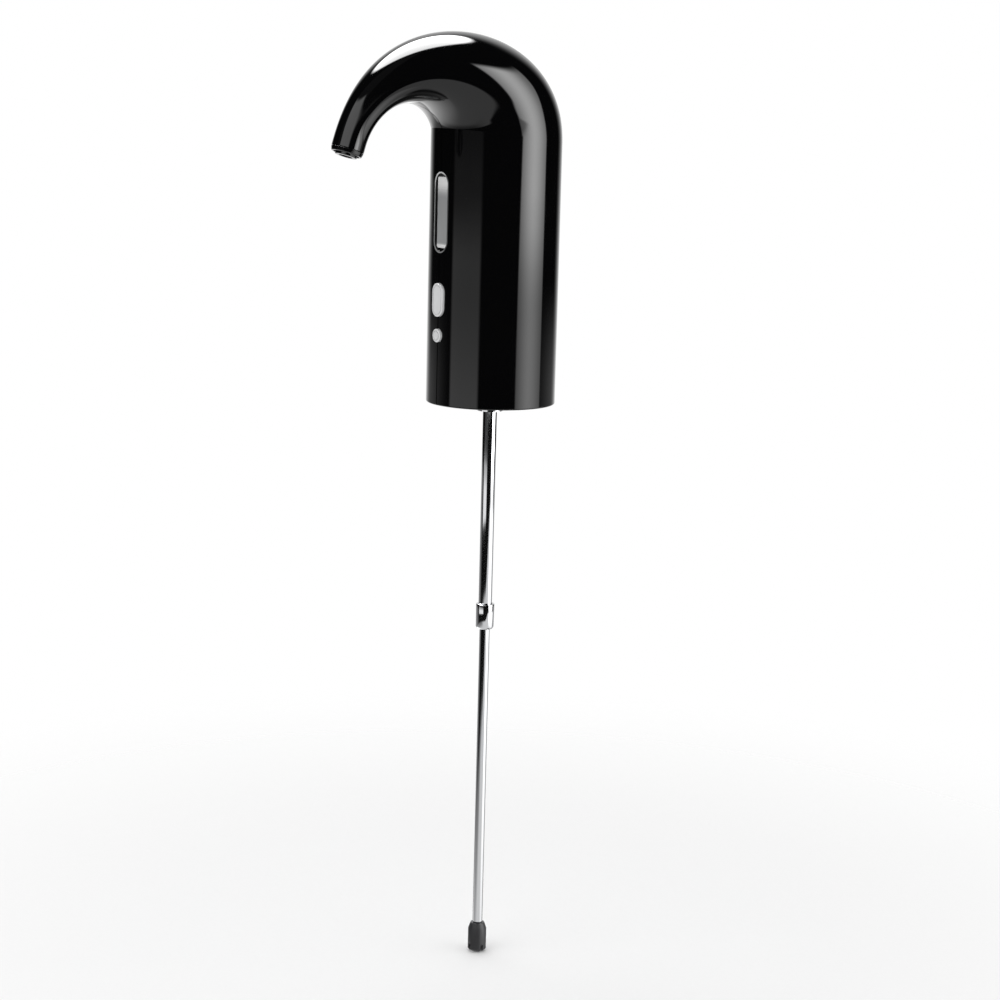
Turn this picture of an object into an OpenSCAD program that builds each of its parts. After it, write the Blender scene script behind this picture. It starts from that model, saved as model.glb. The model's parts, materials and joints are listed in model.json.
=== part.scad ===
// Electric wine decanter: a battery pump in a hooked casing that stands on a wine bottle's mouth.
// The origin lies on the bottle's axis in the plane of its lip, +Z is up and the spout points to -Y.

/* [Casing] */
// Diameter of the round body
body_d = 60; // [59:0.5:66]
// Thickness of the casing wall
wall = 2.2; // [1.8:0.1:2.6]
// Depth by which the casing covers the bottle's neck
neck_cover = 22; // [20:0.5:26]
// Height of the straight barrel above the rim, at the back
barrel_h = 119; // [117:0.5:124]
// How much further the barrel stays straight at the front
front_step = 6.3; // [5:0.1:7.5]
// Spout tip centre, forward of the body axis
tip_reach = 78.1; // [74:0.1:84]
// Spout tip centre, above the rim
tip_height = 118.6; // [115:0.1:124]
// Lean of the spout's end away from straight down
tip_tilt = 17.5; // [13:0.5:22]
// Outer diameter of the spout at its tip
tip_d = 14.7; // [14.2:0.1:16]
// How far the back of the hook keeps rising before it turns
back_rise = 60; // [56:1:65]
// How far the top of the hook runs straight above the tip
top_run = 71.5; // [68:0.5:75]
// Lean of the inner arch where it leaves the barrel
arch_lean = 22; // [16:1:26]
// How far the inner arch rises on the body side
arch_rise = 12.3; // [10:0.1:14]
// How far the inner arch runs on the spout side
arch_run = 30; // [26:1:33]

/* [Window] */
// Width of the slot in the casing
slot_w = 11.3; // [10.8:0.1:12]
// Height of the slot in the casing
slot_h = 36.4; // [35.5:0.1:37.5]
// Slot centre above the rim
slot_height = 87.7; // [87:0.1:89]
// Width of the clear lens
lens_w = 8; // [7:0.1:8.4]
// Height of the clear lens
lens_h = 32; // [30:0.5:32.5]
// Depth of the tray round the lens
tray_depth = 1.1; // [0.8:0.1:1.4]

/* [Buttons] */
// Width of the long button
power_w = 8.4; // [8:0.1:9.6]
// Height of the long button
power_h = 15.2; // [14:0.1:16.4]
// Long button centre above the rim
power_height = 48.3; // [47.5:0.1:50]
// Diameter of the round button
mode_d = 6.1; // [5.5:0.1:7]
// Round button centre above the rim
mode_height = 32.1; // [31.5:0.1:33]
// How far the buttons stand out of the casing
button_proud = 0.9; // [0.6:0.1:1.4]
// Travel of both buttons
button_travel = 0.8; // [0.5:0.1:1]

/* [Bottle seat] */
// Diameter of the stopper's plug
plug_d = 18.5; // [17.5:0.1:19.5]
// Length of the plug that seals in the bottle
plug_l = 20; // [18:0.5:22]
// Diameter of the room round the bottle's neck
socket_d = 33; // [32:0.5:34]
// Diameter of the stopper's flange
flange_d = 26; // [24:0.5:28]

/* [Dip tube] */
// Outer diameter of the upper tube
tube_d = 6.6; // [6.4:0.1:6.8]
// Wall of both tubes
tube_wall = 0.4; // [0.3:0.05:0.45]
// Depth of the upper tube's lower end below the bottle's lip
joint_depth = 126; // [118:1:134]
// Depth of the foot below the bottle's lip
foot_depth = 290; // [270:1:300]

/* [Pump and motor] */
// Teeth of each pump gear
teeth = 10; // [10:2:12]
// Distance between the two gears, as a share of the barrel's inner diameter
span_share = 0.162; // [0.16:0.0005:0.164]
// Width of the gears
gear_w = 8; // [7:0.5:8.5]
// Diameter of the motor can, as a share of the barrel's inner diameter
motor_share = 0.439; // [0.428:0.001:0.442]
// Length of the motor can
motor_l = 31; // [29:0.5:32]
// Diameter of the battery cell, as a share of the barrel's inner diameter
cell_share = 0.255; // [0.248:0.001:0.26]
// Length of the battery cell
cell_l = 50; // [48:0.5:52]

/* [Hidden] */
$fn = 64;

// clearances shared by every fit
slip = 0.05;
ease = 0.1;
gap = 0.3;
// overlap of a cut or a joined shape with what it meets
over = 1;
weld = 0.5;

// casing
body_r = body_d / 2;
inner_r = body_r - wall;
rim_z = -neck_cover;
bend_z = rim_z + barrel_h;
arch_z = bend_z + front_step;
arch_dir = [sin(arch_lean), cos(arch_lean)];
tip_z = rim_z + tip_height;
tip_r = tip_d / 2;
tip_dir = [sin(tip_tilt), -cos(tip_tilt)];
tip_side = [cos(tip_tilt), sin(tip_tilt)];
tip_at = [tip_reach, tip_z];
collar_s = 3.1;
collar_l = 2.2;
half_steps = 24;
bend_steps = 26;

// base and stopper
flange_t = 2.2;
ceiling_t = 3.6;
deck_z = flange_t + ceiling_t;
cover_t = 2.4;
cover_inset = 0.4;
cover_z = rim_z + cover_inset;
cover_wall = 2.2;
socket_r = socket_d / 2;
side_room = inner_r - socket_r - cover_wall;
boss_at = inner_r - 0.33 * side_room;
boss_r = 0.4 * side_room;
boss_h = 11;
boss_roof = 2;
screw_r = 1.1;
head_r = 1.9;
head_t = 1.4;
cross_w = 0.5;
cross_l = 2.4;
cross_depth = 0.7;
base_screw_l = 9;
plug_r = plug_d / 2;
plug_end = 4;
plug_taper = 1.6;
groove_h = 2;
groove_depth = 0.7;
vent_r = 1;
vent_at = plug_r - 2.2;
stem_r = 4.5;
stem_bore = 1.4;
stem_foot_t = 2;
stem_foot_r = 6;
tube_r = tube_d / 2;
tube_in = tube_r - tube_wall;
socket_top = -8;
seat_l = 2;
nut_t = 2.2;
nut_r = 7.2;
barb_l = 8;

// hoses and barbs
hose_r = 3.5;
hose_in = 2.2;
thin_r = 2.2;
thin_in = 1.5;
thin_barb = 1.3;
thin_bore = 0.8;
barb_thin = 4.6;
hose_sides = 12;
hose_steps = 18;

// dip tube
slide_r = 2.5;
swage_r = tube_in - slip;
swage_l = 6;
collar_r = 4.4;
collar_grip = 8;
collar_lip = 4;
foot_r = 4.4;
foot_h = 14;
foot_edge = 1;
foot_taper = 3;
foot_neck = 0.8;
foot_grip = 8;
foot_floor = 1.5;
foot_slot_w = 1.6;
foot_slot_h = 3.5;

// pump, motor, battery
gear_span = span_share * 2 * inner_r;
motor_d = motor_share * 2 * inner_r;
cell_d = cell_share * 2 * inner_r;
pump_at = [0.18 * inner_r, 0];
drive_at = [pump_at[0], gear_span / 2];
idler_at = [pump_at[0], -gear_span / 2];
outlet_at = [2 * pump_at[0], 0];
pump_r = 0.432 * inner_r;
barb_gap = 1;
cover_bottom = deck_z + nut_t + 2 * barb_l + barb_gap;
cover_h = 3;
gasket_t = 0.5;
body_bottom = cover_bottom + cover_h + gasket_t;
gear_play = 0.1;
roof_t = 3;
body_top = body_bottom + gear_w + 2 * gear_play + roof_t;
ear_at = 0.5216 * inner_r;
ear_r = 3;
ear_arm = 5;
post_r = ear_r + 0.4;
post_hole = 8;
port_r = 2;
port_w = 3;
room_play = 0.08;
pump_screw_in = 1.9;
pump_screw_l = 10;
pump_hole = 7.2;
seal_r = 3;
seal_t = 2;
pitch_r = gear_span / 2;
gear_module = gear_span / teeth;
pressure = 28;
base_r = pitch_r * cos(pressure);
gear_tip = pitch_r + 0.78 * gear_module;
gear_root = pitch_r - 1.1 * gear_module;
backlash = 0.12;
shaft_r = 1;
shaft_end = 0.9;
turn_fit = 0.02;
pin_r = 1.5;
pin_foot = 1;
pin_roof = 1.2;
pin_play = 0.2;
cup_t = 0.9;
cup_h = 8;
motor_r = motor_d / 2;
can_t = 1;
motor_top = body_top + motor_l;
magnet_t = 1.5;
magnet_low = 5;
magnet_high = 7;
magnet_gap = 8;
rotor_gap = 0.5;
rotor_in = 1;
pole_gap = 2.2;
cap_t = 3;
hub_r = 3.5;
hub_h = 2.2;
hub_roof = 1;
blade_at = 7;
blade = [2.2, 0.8, 6];
blade_in = 2;
cell_wall = 1.4;
cell_room = 0.9;
cell_turn = 150.6;
cell_out = inner_r - cell_d / 2 - cell_wall - cell_room;
cell_at = cell_out * [cos(cell_turn), sin(cell_turn)];
cell_floor = 4;
cell_z = deck_z + cell_floor;
cup_deep = 12;
arm_h = 40;
arm_w = 6;
knob_h = 1;
plate_t = 2.2;
chassis_screw_in = 2.6;
plate_gap = 1;
nut_room = 8;

// front stack, from the casing wall inward
lip = 1.5;
button_t = 1;
button_y = -(wall_y(inner_r, power_w / 2 + lip) - gap);
button_back = button_y + button_t;
switch_y = button_back + button_travel + gap;
switch_t = 3.6;
board_y = switch_y + switch_t;
board_t = 1.6;
board_x = inner_r * [-0.54, 0.324];
board_edge = 2.5;
board_up = 5;
plate_r = -board_y - board_t - plate_gap;
rest_w = 4.8;
rest_t = 3;
rest_l = 8;
power_z = rim_z + power_height;
mode_z = rim_z + mode_height;
slot_z = rim_z + slot_height;
bezel_lip = 1.6;
bezel_y = -(wall_y(inner_r, slot_w / 2 + bezel_lip) - ease);
bezel_t = 1;
tray_edge = 0.6;
lens_y = bezel_y + bezel_t;
lens_t = 1.1;
lens_lip = 1;
sight_r = 3.5;
sight_in = 2.4;
sight_y = lens_y + lens_t + gap + sight_r;
fit_r = 4.6;
fit_h = 9;
fit_grip = 4;
low_fit_h = 12;
sight_low = slot_z - lens_h / 2 - lens_lip - gap;
sight_high = slot_z + lens_h / 2 + lens_lip + gap;
rib_t = 1.8;
rib_w = 9.5;
rib_past = 3;
rib_rest = 0.4;
rib_low = sight_low - low_fit_h + rib_rest;
rib_high = sight_high + fit_h / 2 - 0.5;
board_low = deck_z + gap;
board_gap = 0.5;
board_z = [board_low, rib_low - board_gap];
chip = [5, 5, 1];
chip_edge = 3;
chip_down = 13;
switch_w = 6;
plunger_r = 1.6;
plunger_in = 0.6;

// charging socket
charge_height = 12;
charge_z = rim_z + charge_height;
charge_w = 8.94;
charge_h = 3.26;
charge_sunk = 1.2;
charge_out = body_r - charge_sunk;
charge_gap = 2.1;
charge_l = charge_out - socket_r - cover_wall - charge_gap;
charge_board_t = 1.2;
charge_board_w = 14;
charge_board_l = charge_l - 2;
charge_low = charge_z - charge_h / 2 - charge_board_t;
stud_at = 5;
stud_r = 1.6;

function wall_y(r, half) = sqrt(r * r - half * half);

function cubic(a, b, c, d, t) =
  pow(1 - t, 3) * a + 3 * pow(1 - t, 2) * t * b + 3 * (1 - t) * t * t * c + pow(t, 3) * d;

// the two rails of the hook in its plane of symmetry, as [forward, up]
function back_rail(t) = cubic([-body_r, bend_z], [-body_r, bend_z + back_rise],
  tip_at + tip_r * tip_side - top_run * tip_dir, tip_at + tip_r * tip_side, t);

function arch_rail(t) = cubic([body_r, arch_z], [body_r, arch_z] + arch_rise * arch_dir,
  tip_at - tip_r * tip_side - arch_run * tip_dir, tip_at - tip_r * tip_side, t);

// one station of the casing: centre, unit vector from arch to back, half its depth and half its width
function station(a, b) = [(a + b) / 2, (a - b) / norm(a - b), norm(a - b) / 2, min(body_r, norm(a - b) / 2)];

function stations() = concat(
  [station([-body_r, rim_z], [body_r, rim_z])],
  [for (k = [0 : bend_steps]) station(back_rail(k / bend_steps), arch_rail(k / bend_steps))],
  [station(tip_at + collar_s * tip_dir + tip_r * tip_side, tip_at + collar_s * tip_dir - tip_r * tip_side)]);

function on_station(s, inset, a) =
  let (deep = (s[2] - inset) * cos(a))
  [(s[3] - inset) * sin(a), -(s[0][0] + deep * s[1][0]), s[0][1] + deep * s[1][1]];

function half_ring(s) = concat(
  [for (j = [0 : half_steps]) on_station(s, 0, 180 * j / half_steps)],
  [for (j = [half_steps : -1 : 0]) on_station(s, wall, 180 * j / half_steps)]);

function quad(a, b, c, d) = [[a, b, c], [a, c, d]];

// side faces between successive loops of m points
function loop_faces(rings, m) = [for (k = [0 : rings - 2], i = [0 : m - 1])
  each quad(k * m + i, k * m + (i + 1) % m, (k + 1) * m + (i + 1) % m, (k + 1) * m + i)];

function half_cap(first, flip) = [for (j = [0 : half_steps - 1])
  each flip
    ? quad(first + j, first + j + 1, first + 2 * half_steps - j, first + 2 * half_steps + 1 - j)
    : quad(first + 2 * half_steps + 1 - j, first + 2 * half_steps - j, first + j + 1, first + j)];

module half_shell() {
  s = stations();
  m = 2 * half_steps + 2;
  last = (len(s) - 1) * m;
  polyhedron([for (k = s) each half_ring(k)],
    concat(loop_faces(len(s), m), half_cap(0, false), half_cap(last, true)));
}

// hollow hose along a cubic curve through four points
function unit(v) = v / norm(v);

function slope(p, t) = unit(3 * pow(1 - t, 2) * (p[1] - p[0]) + 6 * (1 - t) * t * (p[2] - p[1])
  + 3 * t * t * (p[3] - p[2]));

// ring k of a hose; the first and the last one lie on straight ends that cover the barbs
function hose_ring(p, k, ref, r) =
  let (t = min(1, max(0, (k - 1) / (hose_steps - 2))), dir = slope(p, t))
  let (end = k == 0 ? -barb_thin : k == hose_steps ? barb_thin : 0)
  let (at = cubic(p[0], p[1], p[2], p[3], t) + end * dir, u = unit(cross(dir, ref)), v = cross(dir, u))
  [for (i = [0 : hose_sides - 1])
    at + r * cos(360 * i / hose_sides) * u + r * sin(360 * i / hose_sides) * v];

module hose(p, ref, r_out, r_in) {
  n = hose_sides;
  skin = n * (hose_steps + 1);
  last = n * hose_steps;
  polyhedron(concat(
      [for (k = [0 : hose_steps]) each hose_ring(p, k, ref, r_out)],
      [for (k = [0 : hose_steps]) each hose_ring(p, k, ref, r_in)]),
    concat(
      [for (k = [0 : hose_steps - 1], i = [0 : n - 1])
        each quad(k * n + i, k * n + (i + 1) % n, (k + 1) * n + (i + 1) % n, (k + 1) * n + i)],
      [for (k = [0 : hose_steps - 1], i = [0 : n - 1])
        each quad(skin + k * n + i, skin + (k + 1) * n + i, skin + (k + 1) * n + (i + 1) % n,
          skin + k * n + (i + 1) % n)],
      [for (i = [0 : n - 1])
        each quad(i, skin + i, skin + (i + 1) % n, (i + 1) % n)],
      [for (i = [0 : n - 1])
        each quad(last + i, last + (i + 1) % n, skin + last + (i + 1) % n, skin + last + i)]));
}

// shared shapes
module stadium(w, h) {
  square([w, h - w], center = true);
  for (s = [-1, 1])
    translate([0, s * (h - w) / 2])
      circle(d = w);
}

module along_y(y0, y1, z) {
  translate([0, y1, z])
    rotate([90, 0, 0])
      linear_extrude(y1 - y0)
        children();
}

module disc(r, z0, z1) {
  translate([0, 0, z0])
    cylinder(r = r, h = z1 - z0);
}

module pipe(r, bore, z0, z1) {
  difference() {
    disc(r, z0, z1);
    disc(bore, z0 - over, z1 + over);
  }
}

module at_tip() {
  translate([0, -tip_reach, tip_z])
    rotate([180 - tip_tilt, 0, 0])
      children();
}

// a screw with its head's underside at z = 0 and the shank downward
module screw(r, length, head) {
  difference() {
    union() {
      cylinder(r = head, h = head_t);
      translate([0, 0, -length])
        cylinder(r = r, h = length + weld);
    }
    for (a = [0, 90])
      rotate([0, 0, a])
        translate([-cross_l / 2, -cross_w / 2, head_t - cross_depth])
          cube([cross_l, cross_w, cross_depth + over]);
  }
}

module at_base_screws() {
  for (a = [45 : 90 : 315])
    rotate([0, 0, a])
      translate([boss_at, 0, 0])
        children();
}

module at_ears() {
  for (a = [0, 90, 270])
    translate([pump_at[0], pump_at[1], 0])
      rotate([0, 0, a])
        translate([ear_at, 0, 0])
          children();
}

module at_pump_screws() {
  for (a = [45 : 90 : 315])
    translate([pump_at[0], pump_at[1], 0])
      rotate([0, 0, a])
        translate([pump_r - pump_screw_in, 0, 0])
          children();
}

// three screws between the posts, as shares of the barrel's inner radius
module at_chassis_screws() {
  for (p = inner_r * [[-0.36, -0.36], [-0.108, 0.54], [0.468, -0.288]])
    translate([p[0], p[1], 0])
      children();
}

board_rests = [board_x[0] + board_edge, board_x[1] - board_edge];

module at_board_screws() {
  for (x = board_rests)
    translate([x, board_y, board_low + board_up])
      rotate([90, 0, 0])
        children();
}

// places of the pins that locate one casing half on the other, as [y, z, casing radius there]
locator_boss = 2.7;
locator_edge = 0.7;
locator_in = wall + locator_boss + locator_edge;
locator_low = 37;
locator_high = 97;
hook_mid = station(back_rail(0.5), arch_rail(0.5));
hook_pin = hook_mid[0] + (hook_mid[2] - locator_in) * hook_mid[1];
pin_spots = [[body_r - locator_in, rim_z + locator_high, body_r],
  [body_r - locator_in, rim_z + locator_low, body_r], [-hook_pin[0], hook_pin[1], hook_mid[2]]];
locator_r = 1.45;
locator_l = 4;
locator_root = 2;
locator_sunk = 0.6;
cut_in = 2;

module casing_half(side) {
  difference() {
    union() {
      if (side > 0) half_shell();
      else mirror([1, 0, 0]) half_shell();
      intersection() {
        at_base_screws()
          disc(boss_r, cover_z + cover_t, cover_z + cover_t + boss_h);
        translate([side > 0 ? 0 : -body_d, -body_d, rim_z])
          cube([body_d, 2 * body_d, barrel_h]);
      }
      for (z = [rib_low, rib_high])
        intersection() {
          disc(inner_r + over, z, z + rib_t);
          translate([side > 0 ? 0 : -rib_w, -body_r, z - over])
            cube([rib_w, body_r + sight_y + rib_past, rib_t + 2 * over]);
        }
      for (p = pin_spots)
        translate([0, p[0], p[1]])
          rotate([0, side * 90, 0])
            cylinder(r = locator_boss, h = wall_y(p[2], p[2] - locator_in + locator_boss) - locator_sunk);
      if (side < 0)
        for (p = pin_spots)
          translate([-locator_root, p[0], p[1]])
            rotate([0, 90, 0])
              cylinder(r = locator_r, h = locator_root + locator_l);
    }
    at_base_screws()
      disc(screw_r + slip, cover_z, cover_z + cover_t + boss_h - boss_roof);
    translate([0, sight_y, 0])
      disc(fit_r + slip, rib_low - over, rib_high + rib_t + over);
    if (side > 0)
      for (p = pin_spots)
        translate([-over, p[0], p[1]])
          rotate([0, 90, 0])
            cylinder(r = locator_r + slip, h = over + locator_l + gap);
    along_y(-body_r - over, -inner_r + cut_in, slot_z)
      stadium(slot_w + 2 * slip, slot_h + 2 * slip);
    along_y(-body_r - over, -inner_r + cut_in, power_z)
      stadium(power_w + 2 * gap, power_h + 2 * gap);
    along_y(-body_r - over, -inner_r + cut_in, mode_z)
      circle(d = mode_d + 2 * gap);
    along_y(inner_r - cut_in, body_r + over, charge_z)
      rotate(90)
        stadium(charge_h + 2 * gap, charge_w + 2 * gap);
  }
}

module casing_right() {
  color("#0b0b0c") casing_half(1);
}

module casing_left() {
  color("#0b0b0c") casing_half(-1);
}

// top-hat cover that closes the bottom and leaves room for the bottle's neck
module base_cover() {
  color("#141416") difference() {
    union() {
      disc(inner_r - gap, cover_z, cover_z + cover_t);
      disc(socket_r + cover_wall, cover_z, deck_z);
      for (x = [-stud_at, stud_at])
        translate([x, charge_out - charge_l + charge_board_l / 2, 0])
          disc(stud_r, cover_z + cover_t - weld, charge_low);
    }
    disc(socket_r, cover_z - over, flange_t);
    disc(stem_r + slip, 0, deck_z + over);
    translate([0, -vent_at, 0])
      disc(vent_r, 0, deck_z + over);
    at_base_screws() {
      disc(screw_r + slip, cover_z - over, cover_z + cover_t + over);
      disc(head_r + gap, cover_z - over, cover_z + head_t + ease);
    }
    at_chassis_screws()
      disc(screw_r + slip, deck_z - chassis_screw_in - ease, deck_z + over);
  }
}

module base_screws() {
  color("#b9bcc0") at_base_screws()
    translate([0, 0, cover_z + head_t + ease])
      mirror([0, 0, 1])
        screw(screw_r, base_screw_l, head_r);
}

// soft plug with three grooves between its sealing lips
module bottle_stopper() {
  color("#2b2b2e") difference() {
    rotate_extrude()
      polygon([[stem_r + slip, flange_t], [flange_d / 2, flange_t], [flange_d / 2, 0], [plug_r, 0],
        [plug_r, -plug_l], [plug_r - plug_taper, -plug_l - plug_end],
        [stem_r + slip, -plug_l - plug_end]]);
    for (k = [1 : 3])
      translate([0, 0, -k * plug_l / 4])
        pipe(plug_r + over, plug_r - groove_depth, -groove_h / 2, groove_h / 2);
    translate([0, -vent_at, 0])
      disc(vent_r, -plug_l - plug_end - over, flange_t + over);
  }
}

module inlet_stem() {
  low = -plug_l - plug_end - stem_foot_t;
  top = deck_z + nut_t + barb_l;
  color("#c9ccd0") rotate_extrude()
    polygon([[tube_r + slip, low], [stem_foot_r, low], [stem_foot_r, low + stem_foot_t],
      [stem_r, low + stem_foot_t], [stem_r, deck_z + nut_t], [hose_in - ease, deck_z + nut_t],
      [hose_in - ease, top], [stem_bore, top], [stem_bore, socket_top + seat_l],
      [tube_in, socket_top + seat_l], [tube_in, socket_top], [tube_r + slip, socket_top]]);
}

module stem_nut() {
  color("#c9ccd0") difference() {
    translate([0, 0, deck_z])
      cylinder(r = nut_r, h = nut_t, $fn = 6);
    disc(stem_r + slip, deck_z - over, deck_z + nut_t + over);
  }
}

module dip_tube_upper() {
  color("#d5d7da") pipe(tube_r, tube_in, -joint_depth, socket_top);
}

// end collar of the upper tube, whose lip stops and guides the lower tube
module tube_collar() {
  color("#d5d7da") difference() {
    disc(collar_r, -joint_depth - collar_lip, -joint_depth + collar_grip);
    disc(tube_r + slip, -joint_depth, -joint_depth + collar_grip + over);
    disc(slide_r + slip, -joint_depth - collar_lip - over, -joint_depth + over);
  }
}

module dip_tube_lower() {
  low = -foot_depth + foot_h - foot_grip;
  stop = -joint_depth + gap;
  color("#d5d7da") difference() {
    union() {
      disc(slide_r, low, stop + weld);
      disc(swage_r, stop, stop + swage_l);
    }
    disc(slide_r - tube_wall, low - over, stop + swage_l + over);
  }
}

// strainer foot with four slots
module tube_foot() {
  color("#1a1a1c") translate([0, 0, -foot_depth])
    difference() {
      rotate_extrude()
        polygon([[0, 0], [foot_r - foot_edge, 0], [foot_r, foot_edge], [foot_r, foot_h - foot_taper],
          [slide_r + foot_neck, foot_h], [0, foot_h]]);
      disc(slide_r + slip, foot_h - foot_grip, foot_h + over);
      disc(slide_r - tube_wall, foot_floor, foot_h - foot_grip + over);
      for (a = [0, 90])
        rotate([0, 0, a])
          translate([-foot_r - over, -foot_slot_w / 2, -over])
            cube([2 * foot_r + 2 * over, foot_slot_w, foot_slot_h + over]);
    }
}

module suction_hose() {
  color("#dfe3e6") pipe(hose_r, hose_in, deck_z + nut_t + ease, cover_bottom - ease);
}

// floor of the pump with the inlet barb and three mounting ears
module pump_cover() {
  color("#e6e3da") difference() {
    union() {
      translate([pump_at[0], pump_at[1], 0])
        disc(pump_r, cover_bottom, cover_bottom + cover_h);
      at_ears()
        disc(ear_r, cover_bottom, cover_bottom + cover_h);
      at_ears()
        translate([-ear_at / 2, -ear_arm / 2, cover_bottom])
          cube([ear_at / 2, ear_arm, cover_h]);
      disc(hose_in - ease, cover_bottom - barb_l, cover_bottom + over);
    }
    disc(stem_bore, cover_bottom - barb_l - over, cover_bottom + cover_h + over);
    at_ears()
      disc(screw_r + ease, cover_bottom - over, cover_bottom + cover_h + over);
    at_pump_screws()
      disc(screw_r + ease, cover_bottom - over, cover_bottom + cover_h + over);
    translate([idler_at[0], idler_at[1], 0])
      disc(pin_r + slip, cover_bottom + pin_foot, cover_bottom + cover_h + over);
  }
}

// plan of the room for the gears and the two ports
module gear_room() {
  for (p = [drive_at, idler_at])
    translate(p)
      circle(r = gear_tip + room_play);
  translate([0, -port_w / 2])
    square([2 * pump_at[0], port_w]);
  for (p = [[0, 0], outlet_at])
    translate(p)
      circle(r = port_r);
}

module pump_gasket() {
  color("#24242a") difference() {
    translate([pump_at[0], pump_at[1], cover_bottom + cover_h])
      cylinder(r = pump_r, h = gasket_t);
    translate([0, 0, cover_bottom])
      linear_extrude(cover_h + gasket_t + over)
        gear_room();
    at_pump_screws()
      disc(screw_r + ease, cover_bottom, body_bottom + over);
  }
}

// gear housing with the outlet barb, the seal's pocket and a cup for the motor
outlet_turn = -53;
barb_in = pump_r - 1;
barb_base = [pump_at[0] + barb_in * cos(outlet_turn), barb_in * sin(outlet_turn)];
barb_dir = unit(barb_base - outlet_at);
barb_turn = atan2(barb_dir[1], barb_dir[0]);
outlet_up = 2.6;
outlet_z = body_bottom + outlet_up;
barb_root = 2.7;
hose_shy = 0.4;

module pump_body() {
  color("#e6e3da") difference() {
    union() {
      translate([pump_at[0], pump_at[1], 0])
        disc(pump_r, body_bottom, body_top);
      translate([drive_at[0], drive_at[1], 0])
        disc(motor_r + slip + cup_t, body_top - roof_t, body_top + cup_h);
      translate([barb_base[0], barb_base[1], outlet_z])
        rotate([0, 90, barb_turn])
          cylinder(r = thin_barb, h = barb_root - hose_shy + barb_thin);
    }
    translate([0, 0, body_bottom - over])
      linear_extrude(over + gear_w + 2 * gear_play)
        gear_room();
    translate([outlet_at[0], outlet_at[1], outlet_z])
      rotate([0, 90, barb_turn])
        cylinder(r = thin_bore, h = pump_r + barb_root + barb_thin);
    translate([drive_at[0], drive_at[1], 0]) {
      disc(shaft_r + ease, body_bottom, body_top + over);
      disc(seal_r + slip, body_top - seal_t, body_top + over);
      disc(motor_r + slip, body_top, body_top + cup_h + over);
    }
    translate([idler_at[0], idler_at[1], 0])
      disc(pin_r + slip, body_bottom, body_top - pin_roof);
    at_pump_screws()
      disc(screw_r + slip, body_bottom - over, body_bottom + pump_hole);
  }
}

module pump_screws() {
  color("#b9bcc0") at_pump_screws()
    translate([0, 0, cover_bottom])
      mirror([0, 0, 1])
        screw(screw_r, pump_screw_l, head_r);
}

module pump_mount_screws() {
  color("#b9bcc0") at_ears()
    translate([0, 0, cover_bottom + cover_h])
      screw(screw_r, pump_screw_l, head_r);
}

// involute tooth flanks, as angles either side of the tooth's middle
function involute(a) = tan(a) * 180 / PI - a;

function flank(r) = 90 / teeth - backlash / pitch_r * 45 / PI
  + involute(pressure) - involute(acos(min(1, base_r / r)));

function polar(r, a) = [r * cos(a), r * sin(a)];

flank_r = [gear_root, base_r, base_r + 0.25 * (gear_tip - base_r), base_r + 0.5 * (gear_tip - base_r),
  base_r + 0.75 * (gear_tip - base_r), gear_tip];

function tooth(mid) = concat(
  [for (i = [0 : len(flank_r) - 1]) polar(flank_r[i], mid - flank(flank_r[i]))],
  [for (i = [len(flank_r) - 1 : -1 : 0]) polar(flank_r[i], mid + flank(flank_r[i]))]);

module gear(at, first, bore) {
  translate([at[0], at[1], body_bottom + gear_play])
    difference() {
      linear_extrude(gear_w)
        polygon([for (k = [0 : teeth - 1]) each tooth(first + 360 * k / teeth)]);
      disc(bore, -over, gear_w + over);
    }
}

module drive_gear() {
  color("#efece2") gear(drive_at, -90, shaft_r + turn_fit);
}

module idler_gear() {
  color("#efece2") gear(idler_at, 90 + 180 / teeth, pin_r + turn_fit);
}

module idler_pin() {
  color("#c4c7cb") translate([idler_at[0], idler_at[1], 0])
    disc(pin_r, cover_bottom + pin_foot + pin_play, body_top - pin_roof - pin_play);
}

module shaft_seal() {
  color("#1d1d20") translate([drive_at[0], drive_at[1], 0])
    pipe(seal_r, shaft_r + slip, body_top - seal_t, body_top);
}

module motor_can() {
  color("#b4b7bb") translate([drive_at[0], drive_at[1], 0])
    difference() {
      disc(motor_r, body_top, motor_top);
      disc(motor_r - can_t, body_top + can_t, motor_top + over);
      disc(shaft_r + slip, body_top - over, body_top + can_t + over);
    }
}

module motor_magnets() {
  out = motor_r - can_t;
  color("#3a3a3e") translate([drive_at[0], drive_at[1], 0])
    difference() {
      pipe(out, out - magnet_t, body_top + magnet_low, motor_top - magnet_high);
      for (s = [-1, 1])
        translate([-magnet_gap / 2, s * out - out / 2, body_top])
          cube([magnet_gap, out, motor_l]);
    }
}

// three-pole rotor
module armature() {
  r = motor_r - can_t - magnet_t - rotor_gap;
  color("#8a5a34") translate([drive_at[0], drive_at[1], 0])
    difference() {
      disc(r, body_top + magnet_low + rotor_in, motor_top - magnet_high - rotor_in);
      disc(shaft_r + turn_fit, body_top, motor_top);
      for (a = [30, 150, 270])
        rotate([0, 0, a])
          translate([r * 0.45, -pole_gap / 2, body_top])
            cube([r, pole_gap, motor_l]);
    }
}

module motor_shaft() {
  color("#d0d2d5") translate([drive_at[0], drive_at[1], 0])
    disc(shaft_r, body_bottom + gear_play, motor_top + shaft_end);
}

module motor_end_cap() {
  color("#1c1c1e") translate([drive_at[0], drive_at[1], 0])
    difference() {
      union() {
        disc(motor_r - can_t - slip, motor_top - cap_t, motor_top);
        disc(hub_r, motor_top - weld, motor_top + hub_h);
      }
      disc(shaft_r + slip, motor_top - cap_t - over, motor_top + hub_h - hub_roof);
      for (s = [-1, 1])
        translate([s * blade_at - blade[0] / 2 - ease, -blade[1] / 2 - ease, motor_top - blade_in])
          cube([blade[0] + 2 * ease, blade[1] + 2 * ease, blade_in + over]);
    }
}

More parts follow.
